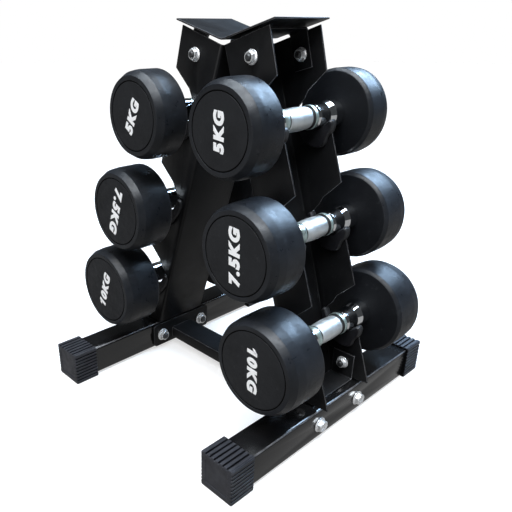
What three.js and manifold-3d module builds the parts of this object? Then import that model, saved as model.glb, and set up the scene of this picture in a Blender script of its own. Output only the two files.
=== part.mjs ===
// Three-tier A-frame dumbbell rack with its six dumbbells. Millimetres, +Z up, the front faces -Y.
import * as THREE from 'three';
import { mergeVertices } from 'three/addons/utils/BufferGeometryUtils.js';
import Module from 'manifold-3d';

const wasm = await Module();
wasm.setup();

// Clearance between pieces that touch in the real object.
const GAP = 0.3;

// Base
const BASE_LENGTH = 430;
const TUBE_CENTRE_X = 167;
const TUBE_SIZE = 45;
const TUBE_WALL = 2;
const TUBE_CORNER = 4;
const CAP_SIZE = 52;
const CAP_LENGTH = 38.5;
const CAP_END_WALL = 4;
const CAP_RIB_DEPTH = 1.3;
const TUBE_CENTRE_Z = CAP_SIZE / 2;
const TUBE_TOP = TUBE_CENTRE_Z + TUBE_SIZE / 2;
const TUBE_INNER_X = TUBE_CENTRE_X - TUBE_SIZE / 2;
const TUBE_OUTER_X = TUBE_CENTRE_X + TUBE_SIZE / 2;
const BASE_BOLT_Y = 44;
const BASE_BOLT_Z = 25;

// Cross member
const CROSS_WIDTH = 44;
const CROSS_HEIGHT = 20;
const CROSS_WALL = 2;
const CROSS_CENTRE_Z = 21;
const END_PLATE_LENGTH = 124;
const END_PLATE_HEIGHT = 40;
const END_PLATE_THICKNESS = 4;

// Uprights: sheet channels, open outwards, narrower towards the foot
const SHEET = 2;
const CHANNEL_HALF = 48;
const BEND_RADIUS = 4;
const UPRIGHT_FOOT_Z = 54;
const UPRIGHT_FOOT_INNER_Z = TUBE_TOP + 2 * GAP;
const UPRIGHT_TOP_INNER = [0.8, 487.5];
const UPRIGHT_TOP_OUTER_Z = 510.5;
const INNER_SLOPE = 0.32;

// Tiers, top to bottom. Each seat is where a handle's axis lies, and coat is the rubber's thickness over the
// iron core, which gives the dumbbells 5, 7.5 and 10 kg.
const TIER_STEP_X = 37.5;
const TIER_STEP_Z = -133;
const TOP_SEAT = [79, 403.5];
const OUTER_SLOPE = -TIER_STEP_X / TIER_STEP_Z;
const TIERS = [
  { name: 'top', headRadius: 56.5, discRadius: 43.4, faceY: 131, innerY: 80, coat: 9.8 },
  { name: 'middle', headRadius: 59.8, discRadius: 47.5, faceY: 140.4, innerY: 81, coat: 7.2 },
  { name: 'bottom', headRadius: 62.8, discRadius: 50.4, faceY: 144.4, innerY: 81, coat: 4.7 },
].map((tier, i) => ({
  ...tier,
  seat: [TOP_SEAT[0] + i * TIER_STEP_X, TOP_SEAT[1] + i * TIER_STEP_Z],
}));

// Notch in an upright's flange, from its upper corner inwards and round to the outer edge, about the seat.
const NOTCH = [
  [9, 55], [-17, 30], [-22, 19], [-31.5, 7.5], [-31, -6], [-20, -14.5],
  [-8, -19], [5, -19.4], [13, -15], [21.6, -7.3],
];

// Cradle cover about the seat: the outline left of the saddle's arc, and the one right of it.
const NECK_RADIUS = 15.5;
const SADDLE_RADIUS = NECK_RADIUS + GAP;
const SADDLE_ARC = { from: -108, to: -48, steps: 5 };
const COVER_EAR = [
  [21.6, -1.9], [24.6, -2.1], [27.2, -7], [26.4, -15], [19.4, -24.6], [18.6, -30.5], [12, -37.5], [-2, -39.5],
];
const COVER_HORN = [[-14, -34.5], [-33, -14], [-37.6, 0], [-35, 6], [-30.4, 6.8], [-25, -3.5], [-13, -13]];
const COVER_THICKNESS = 10;

// Tray across the top and the brackets that carry it
const TRAY_HALF_WIDTH = 82.3;
const TRAY_HALF_LENGTH = 50.5;
const TRAY_VALLEY_Z = 495.2;
const TRAY_TIP_Z = 518.3;
const TRAY_SHEET = 2;
const TRAY_BRACKET_WIDTH = 28;
const TRAY_BRACKET_DROP = 48;
const TRAY_BOLT = [49, 476];

// Brackets that tie the uprights to the base tubes
const FOOT_BRACKET = { fromX: 144, toX: 178, top: 88, sheet: 2.5 };
const FOOT_BOLT = [161, 72];

// Flange bolts and nuts: M10 through the base tubes, M8 through the uprights
const M10 = { bolt: 5, hole: 5.45, hex: 8.7, height: 7.5, flange: 10.5, flangeHeight: 2 };
const M8 = { bolt: 4, hole: 4.45, hex: 7.4, height: 6.5, flange: 8.9, flangeHeight: 1.7 };
const BOLT_END = 2.5;

// Dumbbells
const GRIP_PROFILE = [
  [14.9, 0], [14.4, 11], [13.1, 22], [15.4, 24], [15.4, 30], [13.8, 32],
  [NECK_RADIUS, 35], [NECK_RADIUS, 56], [18.6, 63],
];
const TENON_RADIUS = 12.5;
const RIM_FLAT = 6;

const HEAD_SEGMENTS = 24;
const CORE_SEGMENTS = 12;
const HANDLE_SEGMENTS = 16;
const FLANGE_SEGMENTS = 12;
const BOLT_SEGMENTS = 8;

const paint = new THREE.MeshStandardMaterial({ color: 0x121316, roughness: 0.42, metalness: 0.35 });
const rubber = new THREE.MeshStandardMaterial({ color: 0x17181a, roughness: 0.62, metalness: 0 });
const capRubber = new THREE.MeshStandardMaterial({ color: 0x1e1f22, roughness: 0.75, metalness: 0 });
const plastic = new THREE.MeshStandardMaterial({ color: 0x141416, roughness: 0.5, metalness: 0 });
const chrome = new THREE.MeshStandardMaterial({ color: 0xd4d7da, roughness: 0.12, metalness: 1 });
const zinc = new THREE.MeshStandardMaterial({ color: 0xbfc3c7, roughness: 0.3, metalness: 1 });

// Turns a closed three.js surface into a solid, leaving out the flat triangles at its poles.
function solid(geometry) {
  const bare = geometry.clone();
  bare.deleteAttribute('normal');
  bare.deleteAttribute('uv');
  const merged = mergeVertices(bare, 1e-4);
  const index = merged.index.array;
  const kept = [];
  for (let i = 0; i < index.length; i += 3) {
    const [a, b, c] = [index[i], index[i + 1], index[i + 2]];
    if (a !== b && b !== c && c !== a) {
      kept.push(a, b, c);
    }
  }
  return new wasm.Manifold(new wasm.Mesh({
    numProp: 3,
    vertProperties: new Float32Array(merged.attributes.position.array),
    triVerts: new Uint32Array(kept),
  }));
}

function surface(manifold) {
  const mesh = manifold.getMesh();
  const geometry = new THREE.BufferGeometry();
  geometry.setAttribute('position', new THREE.BufferAttribute(new Float32Array(mesh.vertProperties), 3));
  geometry.setIndex(new THREE.BufferAttribute(new Uint32Array(mesh.triVerts), 1));
  return geometry;
}

function mirrorX(geometry) {
  const mirrored = geometry.clone();
  mirrored.scale(-1, 1, 1);
  const index = mirrored.index.array;
  for (let i = 0; i < index.length; i += 3) {
    [index[i], index[i + 1]] = [index[i + 1], index[i]];
  }
  return mirrored;
}

function mirrorY(geometry) {
  const mirrored = mirrorX(geometry);
  mirrored.rotateZ(Math.PI);
  return mirrored;
}

function outlineShape(points, holes = []) {
  const shape = new THREE.Shape(points.map(([x, y]) => new THREE.Vector2(x, y)));
  for (const hole of holes) {
    shape.holes.push(new THREE.Path(hole.map(([x, y]) => new THREE.Vector2(x, y))));
  }
  return shape;
}

function extrude(shape, depth) {
  return new THREE.ExtrudeGeometry(shape, { depth, bevelEnabled: false, curveSegments: 6 });
}

// A plate whose outline is given as [x, z] points, from y = fromY to y = toY.
function plateAlongY(points, fromY, toY, holes = []) {
  const geometry = extrude(outlineShape(points, holes), toY - fromY);
  geometry.rotateX(Math.PI / 2);
  geometry.translate(0, toY, 0);
  return geometry;
}

// A plate whose outline is given as [y, z] points, from x = fromX to x = toX.
function plateAlongX(points, fromX, toX, holes = []) {
  const geometry = extrude(outlineShape(points, holes), toX - fromX);
  geometry.rotateX(Math.PI / 2);
  geometry.rotateZ(Math.PI / 2);
  geometry.translate(fromX, 0, 0);
  return geometry;
}

function box(from, to) {
  const size = to.map((value, i) => value - from[i]);
  const geometry = new THREE.BoxGeometry(...size);
  geometry.translate(...from.map((value, i) => value + size[i] / 2));
  return geometry;
}

// A rod along 'x' or 'y' between two places on that axis; at holds its other two coordinates.
function rod(axis, radius, from, to, at, segments) {
  const geometry = new THREE.CylinderGeometry(radius, radius, to - from, segments);
  geometry.translate(0, (from + to) / 2, 0);
  if (axis === 'x') {
    geometry.rotateZ(-Math.PI / 2);
    geometry.translate(0, at[0], at[1]);
  } else {
    geometry.translate(at[0], 0, at[1]);
  }
  return geometry;
}

function turned(profile, segments) {
  return new THREE.LatheGeometry(profile.map(([r, y]) => new THREE.Vector2(r, y)), segments);
}

function roundedRectangle(halfWidth, halfHeight, radius, centre = [0, 0], steps = 4) {
  const points = [];
  const corners = [[1, -1, -90], [1, 1, 0], [-1, 1, 90], [-1, -1, 180]];
  for (const [sx, sy, start] of corners) {
    for (let i = 0; i <= steps; i += 1) {
      const angle = THREE.MathUtils.degToRad(start + (90 * i) / steps);
      points.push([
        centre[0] + sx * (halfWidth - radius) + radius * Math.cos(angle),
        centre[1] + sy * (halfHeight - radius) + radius * Math.sin(angle),
      ]);
    }
  }
  return points;
}

// Moves every edge of a counter-clockwise outline outwards by distance.
function grownOutline(points, distance) {
  const count = points.length;
  return points.map(([x, y], i) => {
    const before = points[(i + count - 1) % count];
    const after = points[(i + 1) % count];
    const first = new THREE.Vector2(y - before[1], before[0] - x).normalize();
    const second = new THREE.Vector2(after[1] - y, x - after[0]).normalize();
    const miter = first.clone().add(second);
    const reach = distance / Math.max(0.35, (1 + first.dot(second)));
    return [x + miter.x * reach, y + miter.y * reach];
  });
}

const outerEdgeX = (z) => {
  const corner = [TOP_SEAT[0] + NOTCH[0][0], TOP_SEAT[1] + NOTCH[0][1]];
  return corner[0] + OUTER_SLOPE * (corner[1] - z);
};

const innerFoldX = (z) => UPRIGHT_TOP_INNER[0] + INNER_SLOPE * (UPRIGHT_TOP_INNER[1] - z);

// The right upright seen from the front, counter-clockwise from the foot's inner corner.
function uprightOutline() {
  const points = [
    [innerFoldX(UPRIGHT_FOOT_INNER_Z), UPRIGHT_FOOT_INNER_Z],
    [outerEdgeX(UPRIGHT_FOOT_Z), UPRIGHT_FOOT_Z],
  ];
  for (const tier of [...TIERS].reverse()) {
    for (const [x, z] of [...NOTCH].reverse()) {
      points.push([tier.seat[0] + x, tier.seat[1] + z]);
    }
  }
  points.push([outerEdgeX(UPRIGHT_TOP_OUTER_Z), UPRIGHT_TOP_OUTER_Z]);
  points.push(UPRIGHT_TOP_INNER);
  return points;
}

// A prism along the upright's inner fold, set back from it, with rounded bends at the front and back.
function channelPrism(setBack, halfWidth, radius) {
  const length = Math.hypot(1, INNER_SLOPE);
  const outward = new THREE.Vector3(1 / length, 0, INNER_SLOPE / length);
  const along = new THREE.Vector3(-INNER_SLOPE / length, 0, 1 / length);
  const reach = 140;
  const profile = roundedRectangle(reach, halfWidth, radius, [setBack + reach, 0]);
  const geometry = extrude(outlineShape(profile), 620);
  const foot = new THREE.Vector3(innerFoldX(UPRIGHT_FOOT_Z), 0, UPRIGHT_FOOT_Z);
  foot.addScaledVector(along, -60);
  const place = new THREE.Matrix4().makeBasis(outward, new THREE.Vector3(0, 1, 0), along);
  place.setPosition(foot);
  geometry.applyMatrix4(place);
  return solid(geometry);
}

function upright() {
  const block = solid(plateAlongY(uprightOutline(), -CHANNEL_HALF, CHANNEL_HALF));
  const outside = channelPrism(0, CHANNEL_HALF, BEND_RADIUS);
  const inside = channelPrism(SHEET, CHANNEL_HALF - SHEET, BEND_RADIUS - SHEET);
  let leg = block.intersect(outside).subtract(inside);
  for (const at of [TRAY_BOLT, FOOT_BOLT]) {
    leg = leg.subtract(solid(rod('y', M8.hole, -60, 60, at, BOLT_SEGMENTS)));
  }
  return surface(leg);
}

function coverOutline() {
  const points = [];
  for (let i = 0; i <= SADDLE_ARC.steps; i += 1) {
    const share = i / SADDLE_ARC.steps;
    const angle = THREE.MathUtils.degToRad(SADDLE_ARC.from + share * (SADDLE_ARC.to - SADDLE_ARC.from));
    points.push([SADDLE_RADIUS * Math.cos(angle), SADDLE_RADIUS * Math.sin(angle)]);
  }
  return [...points, ...COVER_EAR, ...COVER_HORN];
}

// The moulded cover over the back flange's notch; the sheet runs in a slot through its middle.
function cradleCover(tier) {
  const middle = CHANNEL_HALF - SHEET / 2;
  const placed = coverOutline().map(([x, z]) => [tier.seat[0] + x, tier.seat[1] + z]).reverse();
  const body = solid(plateAlongY(placed, middle - COVER_THICKNESS / 2, middle + COVER_THICKNESS / 2));
  const slot = plateAlongY(
    grownOutline(uprightOutline(), GAP),
    CHANNEL_HALF - SHEET - GAP,
    CHANNEL_HALF + GAP,
  );
  return surface(body.subtract(solid(slot)));
}

const trayRise = (TRAY_TIP_Z - TRAY_VALLEY_Z) / TRAY_HALF_WIDTH;
const trayTilt = Math.atan(trayRise);

function tray() {
  const drop = TRAY_SHEET / Math.cos(trayTilt);
  const bend = 4;
  const top = [
    [TRAY_HALF_WIDTH, TRAY_TIP_Z],
    [bend, TRAY_VALLEY_Z + bend * trayRise],
    [0, TRAY_VALLEY_Z + (bend * trayRise) / 2],
    [-bend, TRAY_VALLEY_Z + bend * trayRise],
    [-TRAY_HALF_WIDTH, TRAY_TIP_Z],
  ];
  const tipX = TRAY_HALF_WIDTH + TRAY_SHEET * Math.sin(trayTilt);
  const tipZ = TRAY_TIP_Z - TRAY_SHEET * Math.cos(trayTilt);
  const bottom = [
    [-tipX, tipZ],
    [-bend, TRAY_VALLEY_Z + bend * trayRise - drop],
    [0, TRAY_VALLEY_Z + (bend * trayRise) / 2 - drop],
    [bend, TRAY_VALLEY_Z + bend * trayRise - drop],
    [tipX, tipZ],
  ];
  return surface(solid(plateAlongY([...top, ...bottom], -TRAY_HALF_LENGTH, TRAY_HALF_LENGTH)));
}

// A strip bent to an inverted U, square to the wing above it, bolted inside the upright's flanges.
function trayBracket() {
  const outer = CHANNEL_HALF - SHEET - GAP;
  const half = TRAY_BRACKET_WIDTH / 2;
  const outside = roundedRectangle(outer, 80, BEND_RADIUS, [0, -80]);
  const inside = roundedRectangle(outer - SHEET, 80, BEND_RADIUS - SHEET, [0, -80 - SHEET]);
  let strip = solid(plateAlongX(outside, -half, half));
  strip = strip.subtract(solid(plateAlongX(inside, -half - 1, half + 1)));
  strip = strip.intersect(solid(box([-half, -outer, -TRAY_BRACKET_DROP], [half, outer, 1])));
  const under = TRAY_SHEET + GAP;
  const along = new THREE.Vector2(Math.cos(trayTilt), Math.sin(trayTilt));
  const down = new THREE.Vector2(Math.sin(trayTilt), -Math.cos(trayTilt));
  const fromValley = new THREE.Vector2(TRAY_BOLT[0], TRAY_BOLT[1] - TRAY_VALLEY_Z);
  const reach = fromValley.dot(along);
  const geometry = surface(strip);
  geometry.rotateY(-trayTilt);
  geometry.translate(
    along.x * reach + down.x * under,
    0,
    TRAY_VALLEY_Z + along.y * reach + down.y * under,
  );
  const hole = solid(rod('y', M8.hole, -60, 60, TRAY_BOLT, BOLT_SEGMENTS));
  return surface(solid(geometry).subtract(hole));
}

function baseTube() {
  const half = TUBE_SIZE / 2;
  const end = BASE_LENGTH / 2 - CAP_END_WALL - GAP;
  const centre = [TUBE_CENTRE_X, TUBE_CENTRE_Z];
  const outside = roundedRectangle(half, half, TUBE_CORNER, centre, 3);
  const bore = roundedRectangle(half - TUBE_WALL, half - TUBE_WALL, TUBE_CORNER - TUBE_WALL, centre, 3);
  let tube = solid(plateAlongY(outside, -end, end, [bore.reverse()]));
  for (const y of [-BASE_BOLT_Y, BASE_BOLT_Y]) {
    const hole = rod('x', M10.hole, 120, 220, [y, BASE_BOLT_Z], BOLT_SEGMENTS);
    tube = tube.subtract(solid(hole));
  }
  return surface(tube);
}

// One side of a ribbed cap's outline: ribs along the line from start to end, standing out to its left.
function ribbedSide(start, end, ribs) {
  const side = new THREE.Vector2(end[0] - start[0], end[1] - start[1]);
  const inwards = new THREE.Vector2(-side.y, side.x).normalize().multiplyScalar(CAP_RIB_DEPTH);
  const points = [];
  for (let i = 0; i < ribs; i += 1) {
    for (const [share, depth] of [[0.08, 0], [0.62, 0], [0.72, 1], [0.98, 1]]) {
      if (i < ribs - 1 || share < 0.7) {
        const t = (i + share) / (ribs - 0.3);
        points.push([start[0] + side.x * t + inwards.x * depth, start[1] + side.y * t + inwards.y * depth]);
      }
    }
  }
  return points;
}

function footCap() {
  const half = CAP_SIZE / 2;
  const corner = 3;
  const right = TUBE_CENTRE_X + half;
  const left = TUBE_CENTRE_X - half;
  const outline = [
    [left + corner, 0],
    [right - corner, 0],
    ...ribbedSide([right, corner], [right, CAP_SIZE - corner], 9),
    ...ribbedSide([right - corner, CAP_SIZE], [left + corner, CAP_SIZE], 7),
    ...ribbedSide([left, CAP_SIZE - corner], [left, corner], 9),
  ];
  const back = BASE_LENGTH / 2;
  const shell = solid(plateAlongY(outline, back - CAP_LENGTH, back));
  const pocketHalf = TUBE_SIZE / 2 + GAP;
  const pocket = roundedRectangle(pocketHalf, pocketHalf, TUBE_CORNER, [TUBE_CENTRE_X, TUBE_CENTRE_Z], 3);
  return surface(shell.subtract(solid(plateAlongY(pocket, back - CAP_LENGTH - 1, back - CAP_END_WALL))));
}

function crossMember() {
  const plateX = TUBE_INNER_X - GAP;
  const outside = roundedRectangle(CROSS_WIDTH / 2, CROSS_HEIGHT / 2, 3, [0, CROSS_CENTRE_Z], 2);
  const bore = roundedRectangle(
    CROSS_WIDTH / 2 - CROSS_WALL,
    CROSS_HEIGHT / 2 - CROSS_WALL,
    1,
    [0, CROSS_CENTRE_Z],
    2,
  );
  const plate = roundedRectangle(END_PLATE_LENGTH / 2, END_PLATE_HEIGHT / 2, 5, [0, TUBE_CENTRE_Z], 3);
  let member = solid(plateAlongX(outside, -plateX + 1, plateX - 1));
  for (const from of [-plateX, plateX - END_PLATE_THICKNESS]) {
    member = member.add(solid(plateAlongX(plate, from, from + END_PLATE_THICKNESS)));
  }
  member = member.subtract(solid(plateAlongX(bore, -plateX - 1, plateX + 1)));
  for (const y of [-BASE_BOLT_Y, BASE_BOLT_Y]) {
    const hole = rod('x', M10.hole, -160, 160, [y, BASE_BOLT_Z], BOLT_SEGMENTS);
    member = member.subtract(solid(hole));
  }
  return surface(member);
}

function footBracket() {
  const { fromX, toX, top, sheet } = FOOT_BRACKET;
  const outer = CHANNEL_HALF - SHEET - GAP;
  const low = TUBE_TOP + GAP;
  const outside = roundedRectangle(outer, 60, BEND_RADIUS, [0, low + 60]);
  const inside = roundedRectangle(outer - sheet, 60, BEND_RADIUS - sheet, [0, low + 60 + sheet]);
  let bracket = solid(plateAlongX(outside, fromX, toX));
  bracket = bracket.subtract(solid(plateAlongX(inside, fromX - 1, toX + 1)));
  bracket = bracket.intersect(solid(box([fromX, -outer, low], [toX, outer, top])));
  return surface(bracket.subtract(solid(rod('y', M8.hole, -60, 60, FOOT_BOLT, BOLT_SEGMENTS))));
}

// A flange head from the face it bears on, outwards along the axis; sign tells which way.
function flangeHead(size, axis, face, sign, at) {
  const span = (a, b) => [face + sign * a, face + sign * b].sort((p, q) => p - q);
  const flange = rod(axis, size.flange, ...span(0, size.flangeHeight), at, FLANGE_SEGMENTS);
  const hex = rod(axis, size.hex, ...span(size.flangeHeight / 2, size.height), at, 6);
  return solid(flange).add(solid(hex));
}

// A short bolt: its head bears on headFace, its nut on nutFace, and sign points from the nut to the head.
function boltWithNut(axis, headFace, nutFace, sign, at) {
  const ends = [nutFace - sign * (M8.height + BOLT_END), headFace + sign];
  const shank = rod(axis, M8.bolt, Math.min(...ends), Math.max(...ends), at, BOLT_SEGMENTS);
  const head = flangeHead(M8, axis, headFace, sign, at);
  const nut = flangeHead(M8, axis, nutFace, -sign, at);
  return surface(head.add(solid(shank)).add(nut));
}

// The long bolt through a base tube and the cross member's end plate, without its nut.
function baseBolt(y) {
  const headFace = TUBE_OUTER_X + GAP;
  const end = TUBE_INNER_X - GAP - END_PLATE_THICKNESS - GAP - M10.height - BOLT_END;
  const shank = rod('x', M10.bolt, end, headFace + 1, [y, BASE_BOLT_Z], BOLT_SEGMENTS);
  return surface(flangeHead(M10, 'x', headFace, 1, [y, BASE_BOLT_Z]).add(solid(shank)));
}

function baseNut(y) {
  const face = TUBE_INNER_X - GAP - END_PLATE_THICKNESS - GAP;
  const bore = rod('x', M10.bolt + GAP, face - 20, face + 5, [y, BASE_BOLT_Z], BOLT_SEGMENTS);
  return surface(flangeHead(M10, 'x', face, -1, [y, BASE_BOLT_Z]).subtract(solid(bore)));
}

// The iron core inside the back head, grown by clearance on every side.
function core(tier, clearance) {
  const { headRadius, faceY, innerY, coat } = tier;
  const geometry = new THREE.CylinderGeometry(
    headRadius - coat + clearance,
    headRadius - coat + clearance,
    faceY - innerY - 2 * coat + 2 * clearance,
    CORE_SEGMENTS,
  );
  geometry.translate(tier.seat[0], (faceY + innerY) / 2, tier.seat[1]);
  return geometry;
}

// The turned handle with the iron cores pressed on its ends.
function handle(tier) {
  const shoulder = tier.innerY - GAP;
  const tip = tier.innerY + tier.coat + 1;
  const half = [...GRIP_PROFILE, [18.6, shoulder], [TENON_RADIUS, shoulder], [TENON_RADIUS, tip]];
  const mirrored = half.slice(1).map(([r, y]) => [r, -y]).reverse();
  const bar = turned([[0, -tip], ...mirrored, ...half, [0, tip]], HANDLE_SEGMENTS);
  bar.translate(tier.seat[0], 0, tier.seat[1]);
  const backCore = core(tier, 0);
  return surface(solid(bar).add(solid(backCore)).add(solid(mirrorY(backCore))));
}

// The rubber head at the back end of a handle, moulded round its core.
function head(tier) {
  const { headRadius, discRadius, faceY, innerY } = tier;
  const profile = [
    [0, innerY],
    [24, innerY],
    [headRadius - 5, innerY + 3],
    [headRadius, innerY + 7],
    [headRadius, faceY - 9],
    [discRadius + RIM_FLAT, faceY],
    [0, faceY],
  ];
  const outside = turned(profile, HEAD_SEGMENTS);
  outside.translate(tier.seat[0], 0, tier.seat[1]);
  const bore = rod('y', TENON_RADIUS + GAP, innerY - 1, innerY + tier.coat, tier.seat, HANDLE_SEGMENTS);
  return surface(solid(outside).subtract(solid(core(tier, GAP))).subtract(solid(bore)));
}

function buildRack() {
  const group = new THREE.Group();
  group.name = 'dumbbell_rack';
  const add = (name, geometry, material) => {
    const flat = geometry.toNonIndexed();
    flat.computeVertexNormals();
    const mesh = new THREE.Mesh(flat, material);
    mesh.name = name;
    group.add(mesh);
  };
  const addBothSides = (name, geometry, material, tail = '') => {
    add(`${name}_right${tail}`, geometry, material);
    add(`${name}_left${tail}`, mirrorX(geometry), material);
  };
  const addFour = (name, back, material) => {
    addBothSides(name, back, material, '_back');
    addBothSides(name, mirrorY(back), material, '_front');
  };

  addBothSides('upright', upright(), paint);
  add('top_tray', tray(), paint);
  addBothSides('tray_bracket', trayBracket(), paint);
  addBothSides('base_tube', baseTube(), paint);
  add('cross_member', crossMember(), paint);
  addBothSides('foot_bracket', footBracket(), paint);
  addFour('foot_cap', footCap(), capRubber);

  for (const tier of TIERS) {
    addFour(`cradle_${tier.name}`, cradleCover(tier), plastic);
    addBothSides(`handle_${tier.name}`, handle(tier), chrome);
    addFour(`head_${tier.name}`, head(tier), rubber);
  }

  for (const [tail, y] of [['_front', -BASE_BOLT_Y], ['_back', BASE_BOLT_Y]]) {
    addBothSides('base_bolt', baseBolt(y), zinc, tail);
    addBothSides('base_nut', baseNut(y), zinc, tail);
  }

  // The nuts of the short bolts all face the front.
  const outsideFace = CHANNEL_HALF + GAP;
  const earFace = (sheet) => CHANNEL_HALF - SHEET - GAP - sheet - GAP;
  const shortBolts = [['tray_bolt', TRAY_BOLT, SHEET], ['foot_bolt', FOOT_BOLT, FOOT_BRACKET.sheet]];
  for (const [name, at, sheet] of shortBolts) {
    addBothSides(name, boltWithNut('y', -earFace(sheet), -outsideFace, 1, at), zinc, '_front');
    addBothSides(name, boltWithNut('y', outsideFace, earFace(sheet), 1, at), zinc, '_back');
  }
  return group;
}

export default buildRack();
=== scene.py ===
import math

import bmesh
import bpy
from mathutils import Matrix, Vector


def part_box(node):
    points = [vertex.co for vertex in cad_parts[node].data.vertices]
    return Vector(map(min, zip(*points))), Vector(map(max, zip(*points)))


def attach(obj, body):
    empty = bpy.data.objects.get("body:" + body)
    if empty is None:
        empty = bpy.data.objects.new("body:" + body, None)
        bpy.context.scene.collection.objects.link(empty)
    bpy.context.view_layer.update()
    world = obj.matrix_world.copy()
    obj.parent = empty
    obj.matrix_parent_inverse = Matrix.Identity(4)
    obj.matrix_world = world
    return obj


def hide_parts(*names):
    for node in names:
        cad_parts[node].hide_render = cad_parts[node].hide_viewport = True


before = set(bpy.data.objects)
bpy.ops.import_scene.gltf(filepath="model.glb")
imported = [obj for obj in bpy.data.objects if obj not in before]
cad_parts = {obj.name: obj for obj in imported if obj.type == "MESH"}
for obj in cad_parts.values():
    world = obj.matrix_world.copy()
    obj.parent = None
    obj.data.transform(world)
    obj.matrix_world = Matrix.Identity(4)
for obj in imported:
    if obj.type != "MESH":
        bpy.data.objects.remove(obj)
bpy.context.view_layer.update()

MM = 0.001
SIDES = {"right": 1, "left": -1}
ENDS = {"back": 1, "front": -1}

# Each tier's mark, the radius of its face disc and the mark's length and height on the face, in mm.
TIERS = {
    "top": {"mark": "5KG", "disc": 43.4, "length": 47, "height": 16.5},
    "middle": {"mark": "7.5KG", "disc": 47.5, "length": 71, "height": 18},
    "bottom": {"mark": "10KG", "disc": 50.4, "length": 62, "height": 16},
}

# How far each dumbbell has rolled in its cradles, in degrees: the direction its front mark reads.
MARK_ANGLES = {
    "top_right": 91,
    "middle_right": 92,
    "bottom_right": -88,
    "top_left": 65,
    "middle_left": -109,
    "bottom_left": 70,
}


# ---------------------------------------------------------------- materials

# A mix node's colour sockets, which share their names with its number and vector sockets.
MIX_FIRST, MIX_SECOND, MIX_RESULT = 6, 7, 2


def new_material(name, color, roughness, metallic=0.0, **inputs):
    material = bpy.data.materials.new(name)
    material.use_nodes = True
    shader = material.node_tree.nodes["Principled BSDF"]
    shader.inputs["Base Color"].default_value = (*color, 1)
    shader.inputs["Roughness"].default_value = roughness
    shader.inputs["Metallic"].default_value = metallic
    for key, value in inputs.items():
        shader.inputs[key.replace("_", " ")].default_value = value
    return material, shader


class Nodes:
    """Adds linked nodes to one material, all on the object's own coordinates."""

    def __init__(self, material):
        self.tree = material.node_tree
        self.place = self.add("ShaderNodeTexCoord").outputs["Object"]

    def add(self, kind, **settings):
        node = self.tree.nodes.new(kind)
        for key, value in settings.items():
            setattr(node, key, value)
        return node

    def link(self, start, end):
        self.tree.links.new(start, end)

    def stretched(self, scale):
        mapping = self.add("ShaderNodeMapping")
        mapping.inputs["Scale"].default_value = scale
        self.link(self.place, mapping.inputs["Vector"])
        return mapping.outputs["Vector"]

    def noise(self, scale, detail=4, roughness=0.5, place=None):
        noise = self.add("ShaderNodeTexNoise")
        noise.inputs["Scale"].default_value = scale
        noise.inputs["Detail"].default_value = detail
        noise.inputs["Roughness"].default_value = roughness
        self.link(place or self.place, noise.inputs["Vector"])
        return noise.outputs["Fac"]

    def ramp(self, value, low, high, start=0.3, end=0.7):
        """Runs from low to high, each a number or a colour, as value goes from start to end."""
        node = self.add("ShaderNodeValToRGB")
        for element, at, setting in zip(node.color_ramp.elements, (start, end), (low, high)):
            element.position = at
            rgb = setting if isinstance(setting, tuple) else (setting,) * 3
            element.color = (*rgb, 1)
        self.link(value, node.inputs["Fac"])
        return node.outputs["Color"]

    def mix(self, share, first, second):
        mix = self.add("ShaderNodeMix", data_type="RGBA")
        self.link(share, mix.inputs["Factor"])
        for socket, setting in ((mix.inputs[MIX_FIRST], first), (mix.inputs[MIX_SECOND], second)):
            if isinstance(setting, tuple):
                socket.default_value = (*setting, 1)
            else:
                self.link(setting, socket)
        return mix.outputs[MIX_RESULT]

    def bump(self, shader, layers):
        """layers are (height, depth in metres) pairs, stacked."""
        normal = None
        for height, depth in layers:
            bump = self.add("ShaderNodeBump")
            bump.inputs["Distance"].default_value = depth
            self.link(height, bump.inputs["Height"])
            if normal:
                self.link(normal, bump.inputs["Normal"])
            normal = bump.outputs["Normal"]
        self.link(normal, shader.inputs["Normal"])


def powder_coat(name, dark, light, roughness, gloss):
    """Fine-grained black paint with a little dust on it."""
    material, shader = new_material(name, dark, roughness, Specular_IOR_Level=gloss)
    nodes = Nodes(material)
    cloud = nodes.noise(scale=9, detail=5, roughness=0.6)
    color = nodes.mix(nodes.ramp(cloud, 0.0, 1.0, start=0.35, end=0.72), dark, light)
    dust = nodes.noise(scale=420, detail=3, roughness=0.7)
    dust_share = nodes.ramp(dust, 0.0, 0.35, start=0.66, end=0.8)
    nodes.link(nodes.mix(dust_share, color, (0.09, 0.09, 0.095)), shader.inputs["Base Color"])
    patches = nodes.noise(scale=28, detail=4, roughness=0.6)
    nodes.link(nodes.ramp(patches, roughness - 0.05, roughness + 0.09), shader.inputs["Roughness"])
    grain = nodes.noise(scale=900, detail=2)
    waves = nodes.noise(scale=150, detail=2)
    nodes.bump(shader, [(grain, 0.00006), (waves, 0.00008)])
    return material


def worn_and_lit_edge(name, smooth, rough):
    """The powder coat where it is thinnest, along the sheets' cut edges and bends, painted lighter:
    partly wear, partly a painted highlight where the edges catch the light.
    """
    material, shader = new_material(name, (0.1, 0.1, 0.105), smooth, metallic=0.25)
    nodes = Nodes(material)
    wear_and_glint = nodes.noise(scale=60, detail=5, roughness=0.7)
    color = nodes.ramp(wear_and_glint, (0.035, 0.036, 0.04), (0.19, 0.19, 0.2), end=0.65)
    nodes.link(color, shader.inputs["Base Color"])
    patches = nodes.noise(scale=200, detail=3)
    nodes.link(nodes.ramp(patches, smooth, rough), shader.inputs["Roughness"])
    return material


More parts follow.
